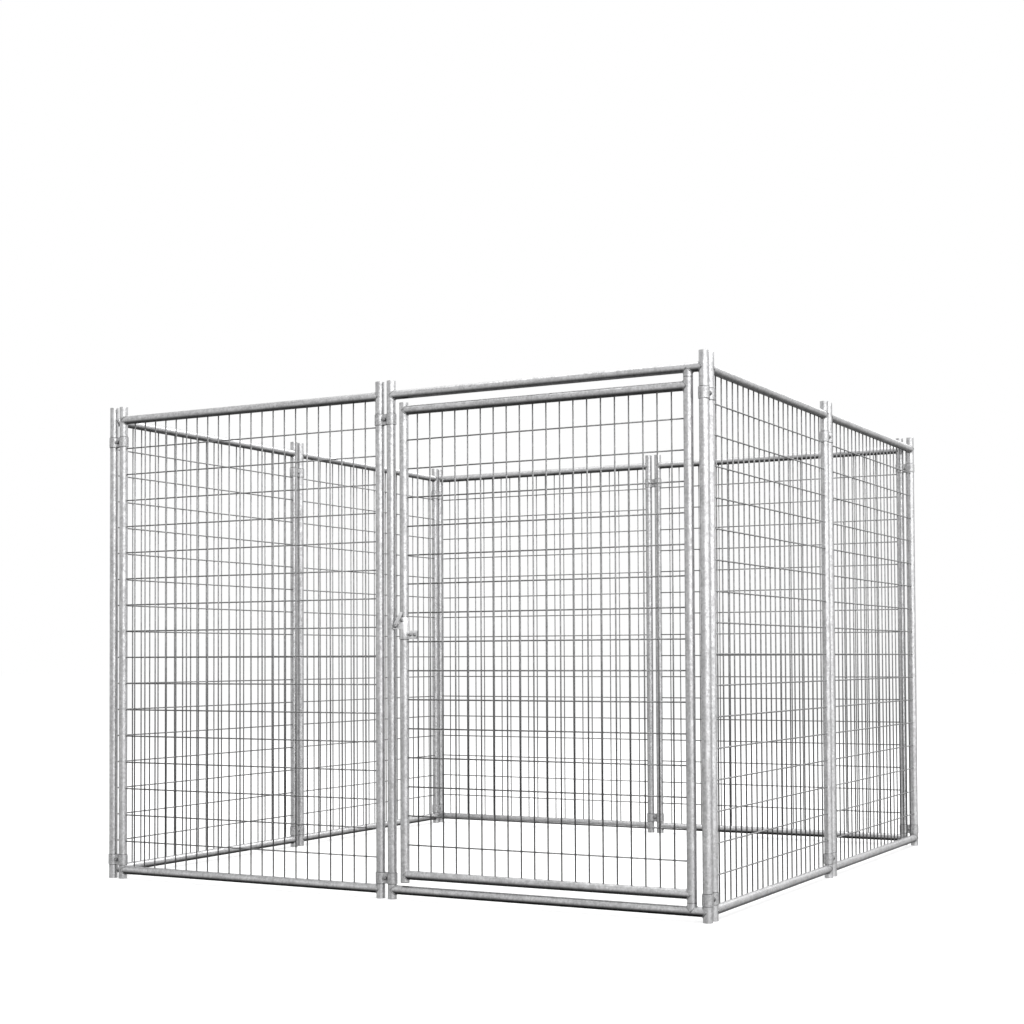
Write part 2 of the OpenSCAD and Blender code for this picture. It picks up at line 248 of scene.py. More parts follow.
SHADE_LINE_OFF = 1 * MM
CLAMP_HEIGHT = 38 * MM
CLAMP_LOW, CLAMP_TOP = (corner[2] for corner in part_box("clamp_outer_halves"))
TUBE_ZINC = ZincFinish(
    "tube_zinc", 0.40, 0.68, 6.5 * MM, 24 * MM, 12.0, (0.30, 0.48), 0.2 * MM, Pattern.GRAIN, 0.99
)
# Painted shade: dark bands on the posts just below and above each clamp, standing in for the shade at the
# clamp's rims.
POST_ZINC = replace(
    TUBE_ZINC,
    name="post_zinc",
    shade_lines=(
        CLAMP_LOW - SHADE_LINE_OFF, CLAMP_LOW + CLAMP_HEIGHT + SHADE_LINE_OFF,
        CLAMP_TOP - CLAMP_HEIGHT - SHADE_LINE_OFF, CLAMP_TOP + SHADE_LINE_OFF,
    ),
)
# Painted shade: dark bands at both ends of the hinge stile, on it and on its stubs, standing in for the shade
# in the gap between them.
HINGE_ZINC = replace(
    TUBE_ZINC, name="hinge_zinc", shade_lines=tuple(corner[2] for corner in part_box("leaf_hinge_stile"))
)
BAND_LOW, BAND_TOP = (corner[2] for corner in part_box("latch_band_front"))
# Painted shade: dark bands just below and above the latch band, standing in for the shade at its rims; one
# more dark band at the stile's foot.
LATCH_ZINC = replace(
    TUBE_ZINC, name="latch_zinc", shade_line_width=4 * MM, shade_line_share=0.22,
    shade_lines=(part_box("leaf_latch_stile")[0][2] + SHADE_LINE_OFF, BAND_LOW - SHADE_LINE_OFF, BAND_TOP + SHADE_LINE_OFF),
)
STILE_ZINC = {"leaf_hinge_stile": HINGE_ZINC, "leaf_latch_stile": LATCH_ZINC}
# Painted shade: each rail is darkened along its underside, standing in for the shade beneath it; more so on
# the bottom rails.
RAIL_ZINC = {
    level: replace(
        TUBE_ZINC, name=f"{level}_rail_zinc", shade_line_width=width, shade_line_share=rail_shade_share,
        shade_lines=tuple(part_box(f"{owner}_{level}_rail")[0][2] for owner in ("gate_frame", "leaf")),
    )
    for level, width, rail_shade_share in (("top", 22 * MM, 0.4), ("bottom", 30 * MM, 0.12))
}
WIRE_ZINC = ZincFinish("wire_zinc", 0.21, 0.38, 3 * MM, 30 * MM, 1.0, (0.4, 0.55), 0.12 * MM)
# Bolts and nuts are given a darker grey than the tubes and plates; the extra darkness is painted shade,
# standing in for the shade in the recess between the clamp halves.
BOLT_ZINC = ZincFinish("bolt_zinc", 0.20, 0.46, 2 * MM, 6 * MM, 1.5, (0.3, 0.5), 0.08 * MM)
CLAMP_ZINC = ZincFinish("clamp_zinc", 0.32, 0.66, 3 * MM, 12 * MM, 1.5, (0.34, 0.5), 0.1 * MM)
FITTING_ZINC = ZincFinish("fitting_zinc", 0.62, 0.94, 2 * MM, 12 * MM, 1.5, (0.32, 0.48), 0.08 * MM)
WELD_ZINC = ZincFinish("weld_zinc", 0.26, 0.56, 2 * MM, 6 * MM, 1.0, (0.36, 0.58), 0.2 * MM)


@dataclass
class Shape:
    """Points and faces that become one mesh.

    Attributes:
        points: places of the vertices.
        faces: numbers of the vertices round each face.
        grain: each vertex in its own piece's straight frame, for the pattern of the finish.
    """

    points: list[Vector] = field(default_factory=list)
    faces: list[tuple[int, ...]] = field(default_factory=list)
    grain: list[Vector] = field(default_factory=list)

    def skin(self, rings: Sequence[Sequence[Vector]], place: Matrix, looped: bool) -> None:
        """Joins rings of points by faces.

        Args:
            rings: rings with the same number of points, or one point where a ring closes to a tip.
            place: where the rings go.
            looped: whether the last ring joins the first one.
        """
        shift = Vector([grain_places.uniform(-9, 9) for _ in range(3)])
        starts: list[int] = []
        for ring in rings:
            starts.append(len(self.points))
            self.points.extend(place @ point for point in ring)
            self.grain.extend(point + shift for point in ring)
        count = len(rings)
        for low in range(count if looped else count - 1):
            high = (low + 1) % count
            self.join(starts[low], len(rings[low]), starts[high], len(rings[high]))

    def join(self, low: int, low_count: int, high: int, high_count: int) -> None:
        """Adds the faces between two rings, each given by its first vertex and its count."""
        sides = max(low_count, high_count)
        for side in range(sides):
            after = (side + 1) % sides
            if low_count == 1:
                self.faces.append((low, high + after, high + side))
            elif high_count == 1:
                self.faces.append((low + side, low + after, high))
            else:
                self.faces.append((low + side, low + after, high + after, high + side))

    def lathe(self, profile: Sequence[tuple[float, float]], sides: int, place: Matrix, looped: bool) -> None:
        """Turns a profile about Z.

        Args:
            profile: radius and height of each ring.
            sides: number of points round a ring.
            place: where the turned form goes.
            looped: whether the profile is a closed loop.
        """
        angles = [math.tau * side / sides for side in range(sides)]
        rings = [
            [Vector((radius * math.cos(a), radius * math.sin(a), height)) for a in angles]
            if radius
            else [Vector((0, 0, height))]
            for radius, height in profile
        ]
        self.skin(rings, place, looped)

    def mesh(self, name: str) -> bpy.types.Mesh:
        """Makes the mesh, closed and facing outwards, with its grain kept on the vertices.

        Args:
            name: name of the mesh.

        Returns:
            The mesh.
        """
        made = bpy.data.meshes.new(name)
        made.from_pydata(self.points, [], self.faces)
        grain = made.attributes.new("grain", "FLOAT_VECTOR", "POINT")
        grain.data.foreach_set("vector", [value for point in self.grain for value in point])
        face_outwards(made)
        return made


def face_outwards(mesh: bpy.types.Mesh) -> None:
    """Turns the faces of closed shells outwards and shades them smooth up to a sharp edge."""
    work = bmesh.new()
    work.from_mesh(mesh)
    bmesh.ops.recalc_face_normals(work, faces=work.faces)
    work.to_mesh(mesh)
    work.free()
    mesh.shade_smooth()
    mesh.set_sharp_from_angle(angle=SMOOTH_ANGLE)


def add_piece(
    name: str, mesh: bpy.types.Mesh, finish: ZincFinish, body: Body, nodes: Iterable[str] = ()
) -> None:
    """Puts a finished mesh in the scene as a piece of the run.

    Args:
        name: name of the piece.
        mesh: its mesh, in the frame of the part.
        finish: its finish.
        body: the body that it rides on.
        nodes: the CAD nodes that it stands for.
    """
    mesh.materials.clear()
    mesh.materials.append(finish.material())
    piece = bpy.data.objects.new(name, mesh)
    bpy.context.scene.collection.objects.link(piece)
    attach(piece, body.value)
    if nodes:
        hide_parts(*nodes)
    log.info("%s: %d faces on %s", name, len(mesh.polygons), body.value)


class Generator:
    """A Geometry Nodes tree that grows step by step and is then run on a mesh."""

    def __init__(self, name: str, sizes: dict[str, str]) -> None:
        """Starts the tree.

        Args:
            name: name of the tree.
            sizes: socket type of each named input.
        """
        self.tree = bpy.data.node_groups.new(name, "GeometryNodeTree")
        self.tree.is_modifier = True
        self.graph = Graph(self.tree)
        ports = self.tree.interface
        ports.new_socket("Geometry", in_out="INPUT", socket_type="NodeSocketGeometry")
        self.keys: dict[str, str] = {}
        for size, kind in sizes.items():
            self.keys[size] = ports.new_socket(size, in_out="INPUT", socket_type=kind).identifier
        self.keys["Finish"] = ports.new_socket(
            "Finish", in_out="INPUT", socket_type="NodeSocketMaterial"
        ).identifier
        ports.new_socket("Geometry", in_out="OUTPUT", socket_type="NodeSocketGeometry")
        self.given = self.graph.add("NodeGroupInput").outputs

    def end(self, geometry: bpy.types.NodeSocket) -> None:
        """Closes the tree: instances become real, smooth and coated."""
        real = self.graph.add("GeometryNodeRealizeInstances", {"Geometry": geometry}).outputs[0]
        smooth = self.graph.add("GeometryNodeSetShadeSmooth", {"Geometry": real}).outputs[0]
        coated = self.graph.add(
            "GeometryNodeSetMaterial", {"Geometry": smooth, "Material": self.given["Finish"]}
        )
        self.graph.add("NodeGroupOutput", {"Geometry": coated.outputs[0]})

    def scatter(self, points: object, instance: object, **more: object) -> bpy.types.NodeSocket:
        """Puts one geometry on each point, with a rotation or scale where one is given."""
        inputs = {"Points": points, "Instance": instance} | more
        return self.graph.add("GeometryNodeInstanceOnPoints", inputs).outputs[0]

    def line(self, count: object, start: object, offset: object) -> bpy.types.NodeSocket:
        """Makes a row of points."""
        inputs = {"Count": count, "Start Location": start, "Offset": offset}
        return self.graph.add("GeometryNodeMeshLine", inputs).outputs[0]

    def run(self, base: bpy.types.Mesh, sizes: dict[str, object], finish: ZincFinish) -> bpy.types.Mesh:
        """Runs the tree on a mesh.

        Args:
            base: the mesh that goes in.
            sizes: values of the named inputs.
            finish: finish of what comes out.

        Returns:
            The result as a plain mesh.
        """
        holder = bpy.data.objects.new(self.tree.name, base)
        bpy.context.scene.collection.objects.link(holder)
        modifier = holder.modifiers.new(self.tree.name, "NODES")
        modifier.node_group = self.tree
        for size, value in (sizes | {"Finish": finish.material()}).items():
            modifier[self.keys[size]] = value
        holder.update_tag()
        graph = bpy.context.evaluated_depsgraph_get()
        made = bpy.data.meshes.new_from_object(holder.evaluated_get(graph), depsgraph=graph)
        holder.modifiers.remove(modifier)
        bpy.data.objects.remove(holder)
        return made


def point_mesh(places: Sequence[Place]) -> bpy.types.Mesh:
    """Makes a mesh of loose points that carry a turn.

    Args:
        places: place and turn of each point.

    Returns:
        The mesh.
    """
    made = bpy.data.meshes.new("places")
    made.from_pydata([place for place, _ in places], [], [])
    turn = made.attributes.new("turn", "FLOAT_VECTOR", "POINT")
    turn.data.foreach_set("vector", [value for _, angle in places for value in angle])
    return made


class FastenerRows(Generator):
    """Sets copies of one fastener at points that carry a turn."""

    def __init__(self) -> None:
        """Builds the tree."""
        super().__init__("fastener_rows", {"Fastener": "NodeSocketObject", "Size": "NodeSocketFloat"})
        add = self.graph.add
        turn = add("GeometryNodeInputNamedAttribute", {"Name": "turn"}, data_type="FLOAT_VECTOR").outputs[0]
        angle = add("FunctionNodeEulerToRotation", {0: turn}).outputs[0]
        shape = add("GeometryNodeObjectInfo", {"Object": self.given["Fastener"]}).outputs["Geometry"]
        placed = self.scatter(self.given["Geometry"], shape, Rotation=angle, Scale=self.given["Size"])
        self.end(placed)

    def repeat(
        self, fastener: Shape, places: Sequence[Place], finish: ZincFinish
    ) -> bpy.types.Mesh:
        """Sets a fastener at each place.

        Args:
            fastener: its shape about its own origin.
            places: place and turn of each copy.
            finish: its finish.

        Returns:
            One mesh with all the copies.
        """
        pattern = bpy.data.objects.new("fastener", fastener.mesh("fastener"))
        bpy.context.scene.collection.objects.link(pattern)
        made = self.run(point_mesh(places), {"Fastener": pattern, "Size": 1.0}, finish)
        bpy.data.objects.remove(pattern)
        made.set_sharp_from_angle(angle=SMOOTH_ANGLE)
        return made


class WeldBeads(Generator):
    """Lays a rippled bead along the line where one round tube meets another."""

    def __init__(self) -> None:
        """Builds the tree: the bead lies about the origin, on a tube that leaves an upright one along +X."""
        sizes = {
            "Tube radius": "NodeSocketFloat",
            "Bead radius": "NodeSocketFloat",
            "Ripples": "NodeSocketFloat",
            "Ripple height": "NodeSocketFloat",
            "Seed": "NodeSocketFloat",
        }
        super().__init__("weld_beads", sizes)
        graph, given = self.graph, self.given
        ring = graph.add("GeometryNodeCurvePrimitiveCircle", {"Resolution": 72, "Radius": 1.0}).outputs[0]
        spot = graph.add("GeometryNodeInputPosition").outputs[0]
        split = graph.add("ShaderNodeSeparateXYZ", {0: spot}).outputs
        across = graph.sum("MULTIPLY", split[0], given["Tube radius"])
        height = graph.sum("MULTIPLY", split[1], given["Tube radius"])
        along = graph.sum("ABSOLUTE", height)
        path = graph.add(
            "GeometryNodeSetPosition", {"Geometry": ring, "Position": graph.vector(along, across, height)}
        ).outputs[0]
        share = graph.add("GeometryNodeSplineParameter").outputs["Factor"]
        turns = graph.sum("MULTIPLY", share, math.tau)
        wave = graph.sum("SINE", graph.sum("MULTIPLY", turns, given["Ripples"]))
        noise = graph.add(
            "ShaderNodeTexNoise", {"Vector": spot, "W": given["Seed"], "Scale": 4.0}, noise_dimensions="4D"
        ).outputs[0]
        lump = graph.sum("ADD", wave, graph.sum("MULTIPLY_ADD", noise, 3.0, -1.5))
        scale = graph.sum("MULTIPLY_ADD", lump, given["Ripple height"], 1.0)
        profile = graph.add(
            "GeometryNodeCurvePrimitiveCircle", {"Resolution": 8, "Radius": given["Bead radius"]}
        ).outputs[0]
        bead = graph.add(
            "GeometryNodeCurveToMesh", {"Curve": path, "Profile Curve": profile, "Scale": scale}
        ).outputs[0]
        turn = graph.add(
            "GeometryNodeInputNamedAttribute", {"Name": "turn"}, data_type="FLOAT_VECTOR"
        ).outputs[0]
        angle = graph.add("FunctionNodeEulerToRotation", {0: turn}).outputs[0]
        self.end(self.scatter(given["Geometry"], bead, Rotation=angle))

    def lay(self, places: Sequence[Place], body: Body) -> None:
        """Lays a bead at each joint of a body.

        Args:
            places: place of each joint and turn of the tube that is welded there.
            body: body that the beads ride on.
        """
        bead = {"Bead radius": 2.4 * MM, "Ripples": 26.0, "Ripple height": 0.14, "Seed": 3.0}
        mesh = self.run(point_mesh(places), {"Tube radius": TUBE.radius} | bead, WELD_ZINC)
        add_piece(f"{body.value}_weld_beads", mesh, WELD_ZINC, body)


class WireSheets(Generator):
    """Makes a sheet of upright and cross wires with a weld spot at every crossing and wire end."""

    def __init__(self) -> None:
        """Builds the tree: the sheet stands in the XZ plane from the middle of its first post."""
        numbers = (
            "Upright start", "Upright pitch", "Upright low", "Upright length", "Cross start", "Cross pitch",
            "Cross low", "Cross length", "Wire radius", "Layer", "Spot radius",
        )
        sizes = {"Upright count": "NodeSocketInt", "Cross count": "NodeSocketInt"}
        sizes |= {name: "NodeSocketFloat" for name in numbers}
        sizes |= {"Place": "NodeSocketVector", "Turn": "NodeSocketFloat"}
        super().__init__("wire_sheets", sizes)
        graph, given = self.graph, self.given
        back = graph.sum("MULTIPLY", given["Layer"], -1.0)
        right = graph.vector(given["Upright pitch"], 0.0, 0.0)
        up = graph.vector(0.0, 0.0, given["Cross pitch"])
        upright = self.wire(given["Upright length"])
        cross = graph.add(
            "GeometryNodeTransform",
            {"Geometry": self.wire(given["Cross length"]), "Rotation": (0, math.pi / 2, 0)},
        ).outputs[0]
        upright_mid = graph.sum("MULTIPLY_ADD", given["Upright length"], 0.5, given["Upright low"])
        cross_mid = graph.sum("MULTIPLY_ADD", given["Cross length"], 0.5, given["Cross low"])
        columns = self.line(
            given["Upright count"], graph.vector(given["Upright start"], given["Layer"], upright_mid), right
        )
        rows = self.line(given["Cross count"], graph.vector(cross_mid, back, given["Cross start"]), up)
        spot = self.spot()
        first = self.line(
            given["Upright count"], graph.vector(given["Upright start"], 0.0, given["Cross start"]), right
        )
        ladder = self.line(given["Cross count"], (0, 0, 0), up)
        crossings = graph.add(
            "GeometryNodeRealizeInstances", {"Geometry": self.scatter(first, ladder)}
        ).outputs[0]
        parts = [self.scatter(columns, upright), self.scatter(rows, cross), self.scatter(crossings, spot)]
        upright_high = graph.sum("ADD", given["Upright low"], given["Upright length"])
        for height in (given["Upright low"], upright_high):
            start = graph.vector(given["Upright start"], given["Layer"], height)
            parts.append(self.scatter(self.line(given["Upright count"], start, right), spot))
        cross_high = graph.sum("ADD", given["Cross low"], given["Cross length"])
        for side in (given["Cross low"], cross_high):
            start = graph.vector(side, back, given["Cross start"])
            parts.append(self.scatter(self.line(given["Cross count"], start, up), spot))
        joined = graph.add("GeometryNodeJoinGeometry")
        for part in parts:
            graph.tree.links.new(part, joined.inputs[0])
        turned = graph.vector(0.0, 0.0, given["Turn"])
        self.end(
            graph.add(
                "GeometryNodeTransform",
                {"Geometry": joined.outputs[0], "Translation": given["Place"], "Rotation": turned},
            ).outputs[0]
        )

    def wire(self, length: bpy.types.NodeSocket) -> bpy.types.NodeSocket:
        """Makes one upright wire of the given length about the origin."""
        inputs = {"Vertices": 10, "Radius": self.given["Wire radius"], "Depth": length}
        return self.graph.add("GeometryNodeMeshCylinder", inputs).outputs["Mesh"]

    def spot(self) -> bpy.types.NodeSocket:
        """Makes one flattened weld spot."""
        ball = self.graph.add(
            "GeometryNodeMeshIcoSphere", {"Radius": self.given["Spot radius"], "Subdivisions": 1}
        ).outputs["Mesh"]
        flat = {"Geometry": ball, "Scale": (1.15, 0.8, 1.0)}
        return self.graph.add("GeometryNodeTransform", flat).outputs[0]


@dataclass(frozen=True)
class RoundTube:
    """Round steel tube of one size.

    Attributes:
        radius: outer radius.
        wall: thickness of the wall.
        rim: bevel at a cut end.
        sides: points round the tube.
    """

    radius: float = 16 * MM
    wall: float = 1.5 * MM
    rim: float = 0.35 * MM
    sides: int = 48

    def mesh(self, name: str, place: Matrix, low: Edge, high: Edge) -> bpy.types.Mesh:
        """Makes a hollow length of tube.

        Args:
            name: name of the mesh.
            place: the tube's own frame, with Z along it.
            low: where a wall point at x, y across the tube starts along it.
            high: where it ends.

        Returns:
            The mesh.
        """
        bore, rim = self.radius - self.wall, self.rim
        section = [(self.radius, rim), (self.radius - rim, 0), (bore + rim, 0), (bore, rim)]
        angles = [math.tau * (side + 0.5) / self.sides for side in range(self.sides)]
        rings: list[list[Vector]] = []
        for edge, ends, sign in ((low, section[::-1], 1), (high, section, -1)):
            for radius, inset in ends:
                across = [(radius * math.cos(a), radius * math.sin(a)) for a in angles]
                rings.append([Vector((x, y, edge(x, y) + sign * inset)) for x, y in across])
        shape = Shape()
        shape.skin(rings, place, looped=True)
        return shape.mesh(name)

    def post(self, node: str) -> bpy.types.Mesh:
        """Makes an upright tube with square ends where a CAD node stands."""
        low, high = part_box(node)
        foot = Vector(((low[0] + high[0]) / 2, (low[1] + high[1]) / 2, low[2]))
        length = high[2] - low[2]
        return self.mesh(node, Matrix.Translation(foot), lambda x, y: 0.0, lambda x, y: length)

    def cope(self, fit: float) -> Callable[[float], float]:
        """Gives how far a wall point at an offset from the middle stands off the tube that it is cut to fit.

        Args:
            fit: gap between the two tubes.

        Returns:
            The function of the offset.
        """
        reach = (self.radius + fit) ** 2
        return lambda offset: math.sqrt(max(reach - offset * offset, 0.0))


TUBE = RoundTube()
TUBE_FIT = 0.05 * MM


def middle(node: str) -> Vector:
    """Gives the middle of a CAD node's box."""
    low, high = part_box(node)
    return (Vector(low) + Vector(high)) / 2


@dataclass
class TubeFrame:
    """Four tubes welded to a frame, with a sheet of wire where it has one.

    Attributes:
        name: first part of the names of its pieces.
        body: body that it rides on.
        first: CAD node of the upright at the start of the frame.
        last: CAD node of the upright at its end.
        rails: CAD nodes of the top and bottom rails.
        sheet: CAD node of its wire, or nothing.
        counts: number of upright and cross wires.
        pitches: spacing of the upright and cross wires.
        spot: radius of a weld spot.
    """

    name: str
    body: Body
    first: str
    last: str
    rails: tuple[str, str]
    sheet: str = ""
    counts: tuple[int, int] = (22, 16)
    pitches: tuple[float, float] = (50.8 * MM, 101.6 * MM)
    spot: float = 2.9 * MM

    @classmethod
    def panel(cls, name: str) -> "TubeFrame":
        """Describes a plain panel by the name that its nodes share."""
        rails = (f"{name}_top_rail", f"{name}_bottom_rail")
        return cls(name, Body.PEN, f"{name}_post_a", f"{name}_post_b", rails, f"{name}_mesh")

    def direction(self) -> Vector:
        """Gives the level direction from the first upright to the last."""
        run = middle(self.last) - middle(self.first)
        return Vector((run.x, run.y, 0)).normalized()

    def build(self, wires: WireSheets) -> None:
        """Makes the tubes and the wire.

        Args:
            wires: the tree that makes sheets of wire.
        """
        for node in (self.first, self.last):
            finish = STILE_ZINC.get(node, POST_ZINC)
            add_piece(f"{node}_tube", TUBE.post(node), finish, self.body, [node])
        for node, finish in zip(self.rails, RAIL_ZINC.values()):
            add_piece(f"{node}_tube", self.rail(node), finish, self.body, [node])
        if self.sheet:
            mesh = self.wires(wires)
            add_piece(f"{self.name}_wires", mesh, WIRE_ZINC, self.body, [self.sheet])

    def rail(self, node: str) -> bpy.types.Mesh:
        """Makes a rail that is coped to both uprights.

        Args:
            node: its CAD node.

        Returns:
            The mesh.
        """
        start, end = middle(self.first), middle(self.last)
        start.z = end.z = middle(node).z
        run = self.direction()
        place = Matrix.Translation(start) @ Matrix((UP.cross(run), UP, run)).transposed().to_4x4()
        span = (end - start).length
        cope = TUBE.cope(TUBE_FIT)
        return TUBE.mesh(node, place, lambda x, y: cope(x), lambda x, y: span - cope(x))

    def wires(self, wires: WireSheets) -> bpy.types.Mesh:
        """Makes the sheet of wire.

        Args:
            wires: the tree that makes sheets of wire.

        Returns:
            The mesh.
        """
        run = self.direction()
        start = middle(self.first)
        start.z = 0
        span = (middle(self.last) - middle(self.first)).dot(run)
        low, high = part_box(self.sheet)
        edge = TUBE.radius + TUBE_FIT
        rows = [(count - 1) * pitch for count, pitch in zip(self.counts, self.pitches)]
        depth = abs((Vector(high) - Vector(low)).dot(UP.cross(run)))
        wire = (depth - TUBE_FIT) / 2
        layer = (wire + TUBE_FIT) / 2 * self.facing(run)
        sizes = {
            "Upright count": self.counts[0],
            "Cross count": self.counts[1],
            "Upright start": (span - rows[0]) / 2,
            "Upright pitch": self.pitches[0],
            "Upright low": low[2],
            "Upright length": high[2] - low[2],
            "Cross start": (low[2] + high[2] - rows[1]) / 2,
            "Cross pitch": self.pitches[1],
            "Cross low": edge,
            "Cross length": span - 2 * edge,
            "Wire radius": wire / 2,
            "Layer": layer,
            "Spot radius": self.spot,
            "Place": start,
            "Turn": math.atan2(run.y, run.x),
        }
        return wires.run(bpy.data.meshes.new("wire"), sizes, WIRE_ZINC)

    def facing(self, run: Vector) -> float:
        """Gives the side of the panel's plane that the upright wires lie on.

        Args:
            run: direction of the panel.

        Returns:
            1 on the left of that direction, or -1 on its right.
        """
        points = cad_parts[self.sheet].data.vertices
        tops = sorted(points, key=lambda point: point.co.z)[-8:]
        offsets = [(point.co - middle(self.first)).dot(UP.cross(run)) for point in tops]
        return math.copysign(1.0, sum(offsets))

    def joints(self) -> list[Place]:
        """Lists where rails meet uprights.

        Returns:
            The place of each joint on the upright's middle line, and the turn of its rail.
        """
        run = self.direction()
        found = []
        for node in self.rails:
            for upright, sign in ((self.first, 1), (self.last, -1)):
                place = middle(upright)
                place.z = middle(node).z
                found.append((place, Euler((0, 0, math.atan2(sign * run.y, sign * run.x)))))
        return found


@dataclass(frozen=True)
class BoltShape:
    """A round-headed bolt along +Z, with its head's seat at the origin and its head below.

    Attributes:
        head: diameter of the head.
        head_height: height of the head.
        shank: diameter of the shank.
        length: from the seat to the end of the thread.
        thread: length of the threaded end.
        pitch: from crest to crest of the thread.
        depth: depth of the thread, as a share of its pitch.
        brim: height of the head's rim, as a share of the head's height.
        steps: rings of the head's crown.
        sides: points round the bolt.
    """

    head: float
    head_height: float
    shank: float
    length: float
    thread: float = 9 * MM
    pitch: float = 1.25 * MM
    depth: float = 0.6
    brim: float = 0.22
    steps: int = 6
    sides: int = 24

    def add(self, shape: Shape, place: Matrix) -> None:
        """Adds the bolt to a shape.

        Args:
            shape: what it joins.
            place: the bolt's own frame.
        """
        radius = self.head / 2
        brim = self.brim * self.head_height
        profile = [(0.0, -self.head_height)]
        for step in range(1, self.steps + 1):
            angle = math.pi / 2 * step / self.steps
            crown = brim + (self.head_height - brim) * math.cos(angle)
            profile.append((radius * math.sin(angle), -crown))
        profile += [(radius, 0.0), (self.shank / 2, 0.0)]
        height = self.length - self.thread
        root = self.shank / 2 - self.depth * self.pitch
        while height + self.pitch < self.length:
            profile += [(self.shank / 2, height), (root, height + self.pitch / 2)]
            height += self.pitch
        profile += [(root, self.length), (0.0, self.length)]
        shape.lathe(profile, self.sides, place, looped=False)


@dataclass(frozen=True)
class NutShape:
    """A hexagon nut along +Z from the origin, with flats facing +X and -X.

    Attributes:
        width: across the flats.
        height: of the nut.
        bore: diameter of the bolt in it.
        lead: chamfer of the bore.
        face: width of the flat end, as a share of the width.
        sides: points round the nut.
    """

    width: float
    height: float
    bore: float
    lead: float = 0.4 * MM
    face: float = 0.97
    sides: int = 48

    def add(self, shape: Shape, place: Matrix) -> None:
        """Adds the nut to a shape.

        Args:
            shape: what it joins.
            place: the nut's own frame.
        """
        flat = self.width / 2
        corner = flat / math.cos(math.pi / 6)
        slope = (corner - flat) * math.tan(math.pi / 6) + 0.02 * self.width
        end, bore, top = flat * self.face, self.bore / 2, self.height
        levels = [
            (bore, 0.0), (end, 0.0), (corner, slope), (corner, top - slope),
            (end, top), (bore + self.lead, top), (bore, top - self.lead),
        ]
        rings = []
        for reach, height in levels:
            ring = []
            for side in range(self.sides):
                angle = math.tau * side / self.sides
                off = (angle + math.pi / 6) % (math.pi / 3) - math.pi / 6
                radius = min(reach, flat / math.cos(off))
                ring.append(Vector((radius * math.cos(angle), radius * math.sin(angle), height)))
            rings.append(ring)
        shape.skin(rings, place, looped=True)


